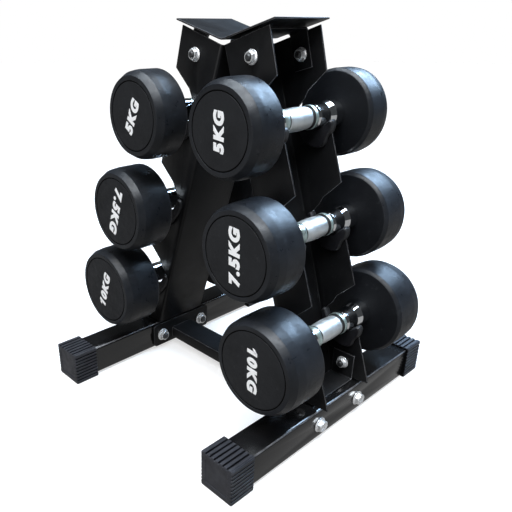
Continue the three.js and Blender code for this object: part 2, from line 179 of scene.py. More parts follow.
def head_rubber(name, dark, light, roughness, gloss):
    """Moulded rubber with a pale bloom, and scuffs that run along the head."""
    material, shader = new_material(name, dark, roughness, Specular_IOR_Level=gloss)
    nodes = Nodes(material)
    cloud = nodes.noise(scale=22, detail=6, roughness=0.62)
    color = nodes.mix(nodes.ramp(cloud, 0.0, 1.0, start=0.32, end=0.72), dark, light)
    bloom = nodes.noise(scale=75, detail=6, roughness=0.75)
    bloom_share = nodes.ramp(bloom, 0.0, 0.5, start=0.6, end=0.8)
    nodes.link(nodes.mix(bloom_share, color, (0.05, 0.053, 0.058)), shader.inputs["Base Color"])
    patches = nodes.noise(scale=70, detail=6, roughness=0.75)
    rough = nodes.ramp(patches, roughness - 0.09, roughness + 0.16, start=0.35, end=0.65)
    nodes.link(rough, shader.inputs["Roughness"])
    grain = nodes.noise(scale=1300, detail=2)
    scuffs = nodes.noise(scale=110, detail=6, roughness=0.75, place=nodes.stretched((1, 0.25, 1)))
    nodes.bump(shader, [(grain, 0.00003), (scuffs, 0.0002)])
    return material


def cap_rubber(name, dark, light, gloss):
    material, shader = new_material(name, dark, 0.42, Specular_IOR_Level=gloss)
    nodes = Nodes(material)
    cloud = nodes.noise(scale=40, detail=6, roughness=0.65)
    color = nodes.mix(nodes.ramp(cloud, 0.0, 1.0, start=0.35), dark, light)
    nodes.link(color, shader.inputs["Base Color"])
    nodes.link(nodes.ramp(nodes.noise(scale=120), 0.36, 0.56), shader.inputs["Roughness"])
    grain = nodes.noise(scale=700, detail=3, roughness=0.6)
    nodes.bump(shader, [(grain, 0.0001)])
    return material


def moulded_plastic(name, dark, light, roughness):
    material, shader = new_material(name, dark, roughness, Specular_IOR_Level=0.3)
    nodes = Nodes(material)
    cloud = nodes.ramp(nodes.noise(scale=60), 0.0, 1.0)
    nodes.link(nodes.mix(cloud, dark, light), shader.inputs["Base Color"])
    rough = nodes.ramp(nodes.noise(scale=90, detail=5), roughness - 0.08, roughness + 0.1)
    nodes.link(rough, shader.inputs["Roughness"])
    grain = nodes.add("ShaderNodeTexVoronoi")
    grain.inputs["Scale"].default_value = 1100
    nodes.link(nodes.place, grain.inputs["Vector"])
    nodes.bump(shader, [(grain.outputs["Distance"], 0.00012)])
    return material


def bright_metal(name, color, roughness, metallic=1.0, along=(1, 1, 1), depth=0.00002):
    """Plated steel with dull patches and scratches, which along stretches."""
    material, shader = new_material(name, color, roughness, metallic)
    nodes = Nodes(material)
    dull = tuple(value * 0.8 for value in color)
    cloud = nodes.noise(scale=70, detail=5, roughness=0.65)
    tone = nodes.ramp(cloud, 0.0, 1.0, start=0.35, end=0.75)
    nodes.link(nodes.mix(tone, color, dull), shader.inputs["Base Color"])
    patches = nodes.noise(scale=120, detail=5, roughness=0.7)
    nodes.link(nodes.ramp(patches, roughness * 0.7, roughness * 1.5), shader.inputs["Roughness"])
    scratches = nodes.noise(scale=420, roughness=0.7, place=nodes.stretched(along))
    nodes.bump(shader, [(scratches, depth)])
    return material


def white_paint():
    material, shader = new_material("mark_paint", (0.93, 0.94, 0.95), 0.5)
    nodes = Nodes(material)
    cloud = nodes.noise(scale=160, detail=5, roughness=0.7)
    nodes.link(nodes.ramp(cloud, (0.88, 0.89, 0.9), (0.96, 0.96, 0.97)), shader.inputs["Base Color"])
    nodes.bump(shader, [(nodes.noise(scale=900, detail=3), 0.00004)])
    return material


PAINT = powder_coat("frame_paint", (0.0055, 0.0056, 0.0062), (0.011, 0.0112, 0.012), 0.36, 0.17)
# The edges' lighter colour is partly wear and partly a painted highlight along the lit edges.
PAINT_LIT_EDGE = worn_and_lit_edge("paint_edge_wear_and_highlight", 0.24, 0.42)
TUBE_LIT_EDGE = worn_and_lit_edge("tube_edge_wear_and_highlight", 0.3, 0.34)
TUBE_PAINT = powder_coat("tube_paint", (0.003, 0.003, 0.0034), (0.006, 0.006, 0.0064), 0.14, 0.85)
HEAD_RUBBER = head_rubber("head_rubber", (0.008, 0.009, 0.011), (0.015, 0.017, 0.021), 0.34, 0.26)
FACE_RUBBER = head_rubber("face_rubber", (0.012, 0.0128, 0.0145), (0.018, 0.019, 0.0215), 0.5, 0.16)
# Painted shade: a darker copy of the head rubber for the inner faces, which lie in the heads' shadow.
SHADED_INNER_RUBBER = head_rubber("inner_painted_shade", (0.004, 0.0045, 0.006), (0.008, 0.009, 0.011), 0.5, 0.13)
# Painted shade: a near-black copy of the head rubber for the groove round the face's disc.
SHADED_GROOVE_RUBBER = head_rubber("groove_painted_shade", (0.002, 0.002, 0.002), (0.003, 0.003, 0.003), 0.7, 0.1)
CAP_RUBBER = cap_rubber("cap_rubber", (0.015, 0.016, 0.021), (0.03, 0.032, 0.04), 0.4)
# Painted shade: a near-black copy of the cap rubber for the rib grooves.
SHADED_CAP_GROOVE = cap_rubber("cap_groove_painted_shade", (0.002, 0.002, 0.003), (0.004, 0.004, 0.005), 0.1)
PLASTIC = moulded_plastic("cradle_plastic", (0.008, 0.008, 0.01), (0.018, 0.018, 0.021), 0.42)
# Painted highlight: a lighter copy of the cradle plastic for the covers' sides and rounded rims.
PLASTIC_RIM_HIGHLIGHT = moulded_plastic("cradle_rim_highlight", (0.02, 0.021, 0.023), (0.034, 0.035, 0.038), 0.36)
CHROME = bright_metal("handle_chrome", (0.9, 0.92, 0.94), 0.07, along=(1, 0.05, 1))
KNURL = bright_metal("handle_knurl", (0.84, 0.88, 0.89), 0.42, 0.9)
COLLAR = bright_metal("handle_collar", (0.62, 0.76, 0.74), 0.3, 0.85)
DULL_STEEL = bright_metal("dull_steel", (0.09, 0.092, 0.095), 0.4, 0.8)
ZINC = bright_metal("fastener_zinc", (0.88, 0.89, 0.9), 0.24, 0.6, depth=0.000001)
WHITE = white_paint()


# ---------------------------------------------------------------- mesh helpers

ON_AXIS = 1e-9


def finish_mesh(name, bm, materials, body, replaced, smooth_angle=40):
    """Turns a bmesh in the scene's own metres into a piece that rides on a body."""
    bmesh.ops.recalc_face_normals(bm, faces=bm.faces)
    limit = math.radians(smooth_angle)
    for face in bm.faces:
        face.smooth = True
    for edge in bm.edges:
        edge.smooth = len(edge.link_faces) == 2 and edge.calc_face_angle(0) < limit
    mesh = bpy.data.meshes.new(name)
    bm.to_mesh(mesh)
    bm.free()
    for material in materials:
        mesh.materials.append(material)
    piece = bpy.data.objects.new(name, mesh)
    bpy.context.scene.collection.objects.link(piece)
    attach(piece, body)
    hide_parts(*replaced)


def filleted(points, steps=6):
    """Rounds a line's corners: points are (u, v, fillet radius)."""
    line = []
    for i, (u, v, radius) in enumerate(points):
        corner = Vector((u, v))
        if radius <= 0 or i in (0, len(points) - 1):
            line.append(corner)
            continue
        before = Vector(points[i - 1][:2]) - corner
        after = Vector(points[i + 1][:2]) - corner
        half = before.angle(after) / 2
        reach = radius / math.tan(half)
        # A fillet stops short of the middle of either side.
        reach = min(reach, before.length * 0.49, after.length * 0.49)
        start = corner + before.normalized() * reach
        end = corner + after.normalized() * reach
        for k in range(steps + 1):
            t = k / steps
            line.append(start * (1 - t) ** 2 + corner * 2 * t * (1 - t) + end * t**2)
    return line


def join_rings(bm, first, second, slot=0):
    """Faces between two closed rings of vertices; a ring of one vertex is a point on the axis."""
    count = max(len(first), len(second))
    for k in range(count):
        following = (k + 1) % count
        corners = [first[k % len(first)], first[following % len(first)]]
        corners += [second[following % len(second)], second[k % len(second)]]
        bm.faces.new(list(dict.fromkeys(corners))).material_index = slot


def lathe(bm, profile, centre, segments, raised=None, axis="y", part=None):
    """Turns a profile of (radius, distance) about an axis through centre.

    raised(angle, distance) adds to the radius, and part(row) is the place of a row's material.
    """
    rings = []
    for radius, along in profile:
        if radius < ON_AXIS:
            rings.append([bm.verts.new(turned_point(0, 0, along, centre, axis))])
            continue
        ring = []
        for k in range(segments):
            angle = 2 * math.pi * k / segments
            extra = raised(angle, along) if raised else 0
            ring.append(bm.verts.new(turned_point(radius + extra, angle, along, centre, axis)))
        rings.append(ring)
    for row, (first, second) in enumerate(zip(rings, rings[1:])):
        join_rings(bm, first, second, part(row) if part else 0)


def turned_point(radius, angle, along, centre, axis):
    u, v = radius * math.cos(angle), radius * math.sin(angle)
    if axis == "y":
        return Vector((centre[0] + u, centre[1] + along, centre[2] + v))
    return Vector((centre[0] + along, centre[1] + u, centre[2] + v))


def mirrored(bm, axis):
    factors = [-1 if name == axis else 1 for name in "xyz"]
    bmesh.ops.scale(bm, vec=factors, verts=bm.verts)
    bmesh.ops.reverse_faces(bm, faces=bm.faces)


# ---------------------------------------------------------------- sheet steel and tubes from CAD

# Edges of the CAD meshes that bend by less than this, in degrees, are shaded smooth.
SMOOTH_BEND = 35
# A face is on a tube's long corner when the product of its normal's x and z is past this.
CORNER_SLANT = 0.3
WELD_DISTANCE = 0.01 * MM
# Faces that meet at less than this, in degrees, become one, and edges past the second are rounded.
FLAT_ANGLE = 0.5
EDGE_ANGLE = 38
EDGE_SEGMENTS = 2
# The rounded edges take this slot's lighter material, partly a painted highlight.
LIT_EDGE_SLOT = 1
# How wide the rounded edges are.
SHEET_EDGE = 0.35 * MM
TRAY_EDGE = 0.4 * MM
TUBE_EDGE_WIDTH = 0.5 * MM


def geometry_group(name):
    group = bpy.data.node_groups.new(name, "GeometryNodeTree")
    for direction in ("INPUT", "OUTPUT"):
        group.interface.new_socket("Geometry", in_out=direction, socket_type="NodeSocketGeometry")
    return group, group.nodes.new("NodeGroupInput"), group.nodes.new("NodeGroupOutput")


def add_math(group, operation, *values):
    node = group.nodes.new("ShaderNodeMath")
    node.operation = operation
    for value, socket in zip(values, node.inputs):
        group.links.new(value, socket)
    return node.outputs[0]


def add_compare(group, operation, value, limit):
    compare = group.nodes.new("FunctionNodeCompare")
    compare.operation = operation
    compare.inputs[1].default_value = limit
    group.links.new(value, compare.inputs[0])
    return compare.outputs[0]


def shading_group():
    """Drops a CAD mesh's flat normals and smooths its gentle bends."""
    group, source, target = geometry_group("soft_shading")
    nodes, links = group.nodes, group.links
    normals = nodes.new("GeometryNodeRemoveAttribute")
    normals.inputs["Name"].default_value = "custom_normal"
    smooth = nodes.new("GeometryNodeSetShadeSmooth")
    smooth.domain = "FACE"
    sharp = nodes.new("GeometryNodeSetShadeSmooth")
    sharp.domain = "EDGE"
    bend = nodes.new("GeometryNodeInputMeshEdgeAngle").outputs["Unsigned Angle"]
    gentle = add_compare(group, "LESS_EQUAL", bend, math.radians(SMOOTH_BEND))
    links.new(gentle, sharp.inputs["Shade Smooth"])
    links.new(source.outputs[0], normals.inputs["Geometry"])
    links.new(normals.outputs["Geometry"], smooth.inputs["Geometry"])
    links.new(smooth.outputs["Geometry"], sharp.inputs["Geometry"])
    links.new(sharp.outputs["Geometry"], target.inputs[0])
    return group


def corner_highlight_group():
    """Gives a square tube's rounded long corners the lighter edge material, a painted highlight along
    them.
    """
    group, source, target = geometry_group("corner_highlight")
    nodes, links = group.nodes, group.links
    parts = nodes.new("ShaderNodeSeparateXYZ")
    links.new(nodes.new("GeometryNodeInputNormal").outputs["Normal"], parts.inputs[0])
    product = add_math(group, "MULTIPLY", parts.outputs["X"], parts.outputs["Z"])
    slanted = add_compare(group, "GREATER_THAN", add_math(group, "ABSOLUTE", product), CORNER_SLANT)
    index = nodes.new("GeometryNodeSetMaterialIndex")
    index.inputs["Material Index"].default_value = LIT_EDGE_SLOT
    links.new(source.outputs[0], index.inputs["Geometry"])
    links.new(slanted, index.inputs["Selection"])
    links.new(index.outputs[0], target.inputs[0])
    return group


SOFT_SHADING = shading_group()
CORNER_HIGHLIGHT = corner_highlight_group()


def dress_cad(node, materials, edge_width):
    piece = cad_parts[node]
    piece.data.materials.clear()
    for material in materials:
        piece.data.materials.append(material)
    weld = piece.modifiers.new("weld", "WELD")
    weld.merge_threshold = WELD_DISTANCE
    flat = piece.modifiers.new("flat_faces", "DECIMATE")
    flat.decimate_type = "DISSOLVE"
    flat.angle_limit = math.radians(FLAT_ANGLE)
    bevel = piece.modifiers.new("edges", "BEVEL")
    bevel.width = edge_width
    bevel.segments = EDGE_SEGMENTS
    bevel.limit_method = "ANGLE"
    bevel.angle_limit = math.radians(EDGE_ANGLE)
    # The bevelled edges take the lighter edge material, partly a painted highlight.
    bevel.material = LIT_EDGE_SLOT
    shading = piece.modifiers.new("shading", "NODES")
    shading.node_group = SOFT_SHADING
    return piece


def dress_frame():
    for side in SIDES:
        for name in ("upright", "tray_bracket", "foot_bracket"):
            dress_cad(f"{name}_{side}", [PAINT, PAINT_LIT_EDGE], SHEET_EDGE)
        tube = dress_cad(f"base_tube_{side}", [TUBE_PAINT, TUBE_LIT_EDGE], TUBE_EDGE_WIDTH)
        tube.modifiers.new("corners", "NODES").node_group = CORNER_HIGHLIGHT
    dress_cad("top_tray", [PAINT, PAINT_LIT_EDGE], TRAY_EDGE)
    dress_cad("cross_member", [PAINT, PAINT_LIT_EDGE], TUBE_EDGE_WIDTH)


# ---------------------------------------------------------------- end caps, in mm

CAP_CORNER = 2.2
CORNER_STEPS = 4
CAP_WALL = 4.15
TUBE_HALF = 22.7
SIDE_RIBS = 9
TOP_RIBS = 7
GROOVE_DEPTH = 2
# One rib and the groove after it: shares of the pitch, and how deep into the groove each point lies.
RIB_SHAPE = [(0.02, 0.3), (0.08, 0), (0.6, 0), (0.66, 0.3), (0.7, 1), (0.98, 1)]
# Each side ends with a rib, so its last pitch stops here.
LAST_RIB = 0.69
# The end face has a shallow panel, set in from its sides.
PANEL_INSET = 7.4
PANEL_DEPTH = 0.7
PANEL_BEVEL = 0.8
# Only faces further than this from the end face, and deeper than this share of a groove, take the
# near-black rubber: painted shade in the grooves.
GROOVE_START = 1
GROOVE_SHADE = 0.6


def cap_outline(half, groove):
    """(u, v) points, anticlockwise. The top and the sides are ribbed and the bottom is flat."""
    reach = half - CAP_CORNER
    outline = []
    for quarter, ribs in enumerate((SIDE_RIBS, TOP_RIBS, SIDE_RIBS, 0)):
        turn = Matrix.Rotation(quarter * math.pi / 2, 2)
        for rib in range(ribs):
            for share, depth in RIB_SHAPE:
                if rib < ribs - 1 or share < LAST_RIB:
                    along = (rib + share) / (ribs - 1 + LAST_RIB)
                    outline.append(turn @ Vector((half - groove * depth, reach * (2 * along - 1))))
        if not ribs:
            outline += [turn @ Vector((half, -reach)), turn @ Vector((half, reach))]
        for k in range(1, CORNER_STEPS):
            angle = math.pi / 2 * k / CORNER_STEPS
            bend = Vector((math.cos(angle), math.sin(angle))) * CAP_CORNER
            outline.append(turn @ (Vector((reach, reach)) + bend))
    return outline


def make_cap(side, end):
    node = f"foot_cap_{side}_{end}"
    low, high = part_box(node)
    half = (high.x - low.x) / 2 / MM
    length = (high.y - low.y) / MM
    end_face = high.y if end == "back" else low.y
    middle = ((low.x + high.x) / 2, (low.z + high.z) / 2)
    # Each ring: distance in from the end face, how much smaller than the cap, and the grooves' share.
    outside = [
        (PANEL_DEPTH, PANEL_INSET + PANEL_BEVEL, 0),
        (0, PANEL_INSET, 0),
        (0, 1.1, 0.7),
        (0.3, 0.4, 1),
        (0.9, 0, 1),
        (length - 0.6, 0, 1),
        (length, 0.5, 1),
    ]
    rings = [(inward, cap_outline(half - less, GROOVE_DEPTH * share)) for inward, less, share in outside]
    sleeve = cap_outline(TUBE_HALF, 0)
    rings += [(length, sleeve), (CAP_WALL, sleeve)]
    bm = bmesh.new()

    def vertex(inward, point):
        u, v = point
        along = end_face - ENDS[end] * inward * MM
        return bm.verts.new((middle[0] + u * MM, along, middle[1] + v * MM))

    loops = [[vertex(inward, point) for point in outline] for inward, outline in rings]
    for first, second in zip(loops, loops[1:]):
        join_rings(bm, first, second)
    join_rings(bm, loops[0], [vertex(PANEL_DEPTH, (0, 0))])
    join_rings(bm, loops[-1], [vertex(CAP_WALL, (0, 0))])
    shade = (half - GROOVE_DEPTH * GROOVE_SHADE) * MM
    # Faces deep in the grooves take the near-black rubber, painted shade.
    for face in bm.faces:
        at = face.calc_center_median()
        deep = max(abs(at.x - middle[0]), abs(at.z - middle[1])) < shade
        if deep and abs(at.y - end_face) > GROOVE_START * MM:
            face.material_index = 1
    materials = [CAP_RUBBER, SHADED_CAP_GROOVE]
    finish_mesh(f"end_cap_{side}_{end}", bm, materials, "rack", [node], 30)


def make_caps():
    for side in SIDES:
        for end in ENDS:
            make_cap(side, end)


# ---------------------------------------------------------------- dumbbell heads, in mm

HEAD_SEGMENTS = 144
# The groove round the face's disc: half its width, and its depth.
GROOVE_HALF = 0.55
FACE_GROOVE = 1.2
# The groove's and the inner face's rubbers are painted shade.
HEAD_MATERIALS = [HEAD_RUBBER, FACE_RUBBER, SHADED_GROOVE_RUBBER, SHADED_INNER_RUBBER]
HEAD_SIDE, HEAD_FACE, HEAD_SHADED_GROOVE, HEAD_SHADED_INNER = range(4)
# How near a row of faces lies to the outer face, the disc's edge, the inner face and the rim.
OUTER_REACH = 3
GROOVE_REACH = 0.75
INNER_REACH = 2.4
RIM_REACH = 4


def head_profile(radius, disc, inner, face):
    """(radius, distance, fillet) from the inner face's middle round to the outer face's."""
    side = face - inner
    return filleted(
        [
            # The inner face, which falls away from the handle.
            (0, inner, 0),
            (21, inner, 3),
            (radius - RIM_REACH, inner + 2.2, 3),
            # The side, which narrows a little towards the chamfer.
            (radius, inner + 6.5, 4),
            (radius, face - 0.36 * side, 30),
            (radius - 1.3, face - 9.5, 1.6),
            # The chamfer, the rim, the groove and the disc.
            (disc + 6.4, face - 0.2, 1),
            (disc + 0.9, face, 0.5),
            (disc + GROOVE_HALF, face - FACE_GROOVE, 0),
            (disc - GROOVE_HALF, face - FACE_GROOVE, 0),
            (disc - 0.9, face, 0.6),
            (0, face - 0.1, 0),
        ]
    )


def make_head(tier, side, end):
    node = f"head_{tier}_{side}_{end}"
    low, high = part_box(node)
    radius = (high.z - low.z) / 2 / MM
    near, far = sorted((abs(low.y) / MM, abs(high.y) / MM))
    disc = TIERS[tier]["disc"]
    profile = head_profile(radius, disc, near, far)
    centre = ((low.x + high.x) / 2, 0, (low.z + high.z) / 2)

    def part(row):
        middle = (profile[row] + profile[row + 1]) / 2
        outer = middle.y > far - OUTER_REACH
        # The groove takes the near-black rubber, painted shade.
        if outer and abs(middle.x - disc) < GROOVE_REACH:
            return HEAD_SHADED_GROOVE
        if outer and middle.x < disc:
            return HEAD_FACE
        # The inner face takes the darker rubber, painted shade.
        if middle.y < near + INNER_REACH and middle.x < radius - RIM_REACH:
            return HEAD_SHADED_INNER
        return HEAD_SIDE

    bm = bmesh.new()
    lathe(bm, [(r * MM, y * MM) for r, y in profile], centre, HEAD_SEGMENTS, part=part)
    if end == "front":
        mirrored(bm, "y")
    body = f"dumbbell_{tier}_{side}"
    finish_mesh(f"rubber_{tier}_{side}_{end}", bm, HEAD_MATERIALS, body, [node])
    return centre, far


# ---------------------------------------------------------------- handles, in mm

HANDLE_SEGMENTS = 180
# The knurl: half its length, diamonds round the grip, their length and height, the share of that
# height at which they are cut off, and the length over which they fade at the ends.
KNURL_HALF = 21.5
KNURL_TURNS = 30
KNURL_PITCH = 3.1
KNURL_HEIGHT = 0.3
KNURL_FLAT = 0.8
KNURL_FADE = 1.5
# The grip's profile gets a row this often up to here, so that the knurl can stand on it.
KNURL_ROW = 0.52
KNURL_ROWS_END = 23
HANDLE_MATERIALS = [CHROME, KNURL, DULL_STEEL, COLLAR]
# How far from the middle the knurl, the recess and the collar reach, and their materials' places.
HANDLE_PARTS = [(21.3, 1), (25.5, 2), (31.3, 3)]


def knurl(angle, along):
    """Diamond points raised on the grip between its two recesses, all in metres."""
    half = KNURL_HALF * MM
    if abs(along) > half:
        return 0
    turns = KNURL_TURNS * angle / (2 * math.pi)
    steps = along / (KNURL_PITCH * MM)
    first = abs(((turns + steps) % 1) - 0.5) * 2
    second = abs(((turns - steps) % 1) - 0.5) * 2
    fade = min(1, (half - abs(along)) / (KNURL_FADE * MM))
    return KNURL_HEIGHT * MM * min(first, second, KNURL_FLAT) * fade


def handle_profile(inner):
    """(radius, distance) from the grip's middle to the head's inner face."""
    half = filleted(
        [
            # The grip, thickest in the middle.
            (14.75, 0, 0),
            (14.3, 11, 8),
            (13.6, 20.8, 1.6),
            # The recess and the collar.
            (12.4, 21.6, 0.4),
            (12.4, 25.2, 0.4),
            (15.4, 25.6, 0.8),
            (15.4, 30.2, 0.8),
            (13.8, 31.4, 1),
            # The neck, which lies in the cradle, and the flare against the head.
            (15.5, 35, 1.2),
            (15.5, 55, 8),
            (18.6, 64, 6),
            (18.6, inner - 0.3, 0),
            (0, inner - 0.3, 0),
        ],
        5,
    )
    profile = []
    for start, end in zip(half, half[1:]):
        rows = 1
        if end.y < KNURL_ROWS_END:
            rows = max(1, round((end.y - start.y) / KNURL_ROW))
        profile += [start.lerp(end, k / rows) for k in range(rows)]
    return profile + [half[-1]]


def make_handle(tier, side, centre, inner):
    profile = handle_profile(inner)
    whole = [Vector((p.x, -p.y)) for p in reversed(profile[1:])] + profile

    def part(row):
        along = abs(whole[row].y + whole[row + 1].y) / 2
        return next((index for limit, index in HANDLE_PARTS if along < limit), 0)

    bm = bmesh.new()
    lathe(bm, [(p.x * MM, p.y * MM) for p in whole], centre, HANDLE_SEGMENTS, raised=knurl, part=part)
    name = f"bar_{tier}_{side}"
    body = f"dumbbell_{tier}_{side}"
    finish_mesh(name, bm, HANDLE_MATERIALS, body, [f"handle_{tier}_{side}"])


# ---------------------------------------------------------------- marks

# The letters' weight, slant, spacing and half thickness, in their own units.
LETTER_WEIGHT = 0.062
LETTER_SLANT = 0.12
LETTER_SPACING = 1.22
LETTER_HALF = 0.01
LETTER_CURVE_STEPS = 6
# The flag of the figure one, in the letters' own units.
FLAG = [(0.3, 0.732), (0.04, 0.56), (0.01, 0.38), (0.24, 0.5)]
# How thick the marks are and how far their middle stands off the face, in mm.
MARK_THICKNESS = 0.3
MARK_LIFT = 0.05


def add_flag(mesh):
    """Gives the font's plain figure one its flag."""
    bm = bmesh.new()
    bm.from_mesh(mesh)
    below, above = ([bm.verts.new((x, y, z)) for x, y in FLAG] for z in (-LETTER_HALF, LETTER_HALF))
    bm.faces.new(above)
    bm.faces.new(below[::-1])
    join_rings(bm, below, above)
    bm.to_mesh(mesh)
    bm.free()


def letter_mesh(text):
    curve = bpy.data.curves.new("mark", "FONT")
    curve.body = text
    curve.offset = LETTER_WEIGHT
    curve.shear = LETTER_SLANT
    curve.space_character = LETTER_SPACING
    curve.resolution_u = LETTER_CURVE_STEPS
    curve.extrude = LETTER_HALF
    source = bpy.data.objects.new("mark_source", curve)
    bpy.context.scene.collection.objects.link(source)
    bpy.context.view_layer.update()
    evaluated = source.evaluated_get(bpy.context.evaluated_depsgraph_get())
    mesh = bpy.data.meshes.new_from_object(evaluated)
    bpy.data.objects.remove(source)
    if text.startswith("1"):
        add_flag(mesh)
    return mesh


def make_mark(tier, side, end, centre, far):
    mark = TIERS[tier]
    mesh = letter_mesh(mark["mark"])
    points = [v.co.copy() for v in mesh.vertices]
    low = Vector([min(p[i] for p in points) for i in range(3)])
    high = Vector([max(p[i] for p in points) for i in range(3)])
    size = high - low
    scale = Vector((mark["length"] / size.x, mark["height"] / size.y, MARK_THICKNESS / size.z)) * MM
    # Seen from its own end, each mark reads in the same direction.
    facing = -ENDS[end]
    angle = math.radians(MARK_ANGLES[f"{tier}_{side}"])
    right = Vector((facing * math.cos(angle), 0, math.sin(angle)))
    up = Vector((-facing * math.sin(angle), 0, math.cos(angle)))
    out = Vector((0, ENDS[end], 0))
    origin = Vector((centre[0], ENDS[end] * (far + MARK_LIFT) * MM, centre[2]))
    for vertex, point in zip(mesh.vertices, points):
        local = (point - (low + high) / 2) * scale
        vertex.co = origin + right * local.x + up * local.y + out * local.z
    mesh.materials.clear()
    mesh.materials.append(WHITE)
    piece = bpy.data.objects.new(f"mark_{tier}_{side}_{end}", mesh)
    bpy.context.scene.collection.objects.link(piece)
    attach(piece, f"dumbbell_{tier}_{side}")


def make_dumbbells():
    for tier in TIERS:
        for side in SIDES:
            for end in ENDS:
                centre, far = make_head(tier, side, end)
                make_mark(tier, side, end, centre, far)
            inner = abs(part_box(f"head_{tier}_{side}_back")[0].y) / MM
            make_handle(tier, side, centre, inner)


# ---------------------------------------------------------------- cradle covers, in mm

# The cover's outline about the handle's axis, clockwise from the saddle's outer lip.
EAR = [
    (19.5, -4.2), (22.4, -1.8), (25.6, -2.4), (27.4, -5.6), (27.3, -11), (25.6, -16.8), (21.6, -22.6),
    (19.6, -27.4), (18, -32.8), (13.2, -37.6), (6, -39.4), (-3, -39.4),
]
HORN = [
    (-11, -36.8), (-19, -29.8), (-27, -20.6), (-33.4, -11.8), (-36.8, -3.6), (-37, 2.6), (-34.6, 6),
    (-31.4, 6.6), (-28.8, 3.4), (-25.6, -2.6), (-20.6, -8.6), (-14.6, -12.8),
]
SADDLE_RADIUS = 15.8
# Where the saddle starts and how far it turns, in degrees.
SADDLE_START = -112
SADDLE_TURN = 64
SADDLE_STEPS = 16
# The rounded edge: distance in from the cover's face, and how far the outline draws in there.
COVER_EDGE = [(0, 1.3), (1.1, 0.35), (2.2, 0)]
# The cover's face is sunk inside its edge: how wide the slope down to it is, and how deep it lies.
SINK_SLOPE = 0.7
SINK_DEPTH = 1.2


def smooth_outline(points, steps=4):
    """A Catmull-Rom line through points, open at both ends."""
    line = []
    ends = [points[0], *points, points[-1]]
    for i in range(1, len(ends) - 2):
        before, start, end, after = (Vector(ends[i + k]) for k in (-1, 0, 1, 2))
        slope = end - before
        curve = 2 * before - 5 * start + 4 * end - after
        twist = 3 * start - before - 3 * end + after
        for k in range(steps):
            t = k / steps
            line.append(0.5 * (2 * start + slope * t + curve * t**2 + twist * t**3))
    return line + [Vector(points[-1])]


def cover_outline():
    saddle = []
    for k in range(SADDLE_STEPS + 1):
        angle = math.radians(SADDLE_START + SADDLE_TURN * k / SADDLE_STEPS)
        saddle.append(Vector((math.cos(angle), math.sin(angle))) * SADDLE_RADIUS)
    return saddle + smooth_outline(EAR) + smooth_outline(HORN)


def drawn_in(outline, inset):
    """A clockwise outline with each point moved inwards."""
    points = []
    for i, point in enumerate(outline):
        tangent = (outline[(i + 1) % len(outline)] - outline[i - 1]).normalized()
        points.append(point + Vector((tangent.y, -tangent.x)) * inset)
    return points


def make_cover(tier, side, end):
    node = f"cradle_{tier}_{side}_{end}"
    low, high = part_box(node)
    handle_low, handle_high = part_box(f"handle_{tier}_{side}")
    seat = (handle_low + handle_high) / 2
    near, far = sorted((abs(low.y), abs(high.y)))
    outline = cover_outline()
    rings = [(near + inward * MM, inset) for inward, inset in COVER_EDGE]
    rings += [(far - inward * MM, inset) for inward, inset in reversed(COVER_EDGE)]
    bm = bmesh.new()
    loops = []
    for along, inset in rings:
        points = drawn_in(outline, inset)
        loops.append([bm.verts.new((abs(seat.x) + x * MM, along, seat.z + z * MM)) for x, z in points])
    for first, second in zip(loops, loops[1:]):
        join_rings(bm, first, second)
    for loop in (loops[0], loops[-1]):
        cap = bm.faces.new(loop)
        cap.normal_update()
        cap.material_index = 1
        bmesh.ops.inset_region(bm, faces=[cap], thickness=SINK_SLOPE * MM, depth=-SINK_DEPTH * MM)
    if SIDES[side] < 0:
        mirrored(bm, "x")
    if ENDS[end] < 0:
        mirrored(bm, "y")
    # The sides and rounded edges take the lighter plastic, a painted highlight.
    materials = [PLASTIC_RIM_HIGHLIGHT, PLASTIC]
    finish_mesh(f"cover_{tier}_{side}_{end}", bm, materials, "rack", [node])


def make_covers():
    for tier in TIERS:
        for side in SIDES:
            for end in ENDS:
                make_cover(tier, side, end)


# ---------------------------------------------------------------- fasteners, in mm

# Flange bolts and nuts: M10 through the base tubes, M8 through the uprights.
M10 = {"bolt": 5, "hex": 8.7, "height": 7.5, "flange": 10.5, "flange_height": 2, "pitch": 1.5}
M8 = {"bolt": 4, "hex": 7.4, "height": 6.5, "flange": 8.9, "flange_height": 1.7, "pitch": 1.25}
BOLT_END = 2.5
BORE_CLEARANCE = 0.2
THREAD_DEPTH = 0.65
TIP_CHAMFER = 1
FLANGE_SEGMENTS = 48
HEX_SEGMENTS = 72
SHANK_SEGMENTS = 32
SHANK_SLOT = 1


def hexagon_radius(corner, angle):
    """How far a hexagon's side is from its middle, at an angle from the middle of a side."""
    turn = (angle + math.pi / 6) % (math.pi / 3) - math.pi / 6
    return corner * math.cos(math.pi / 6) / math.cos(turn)


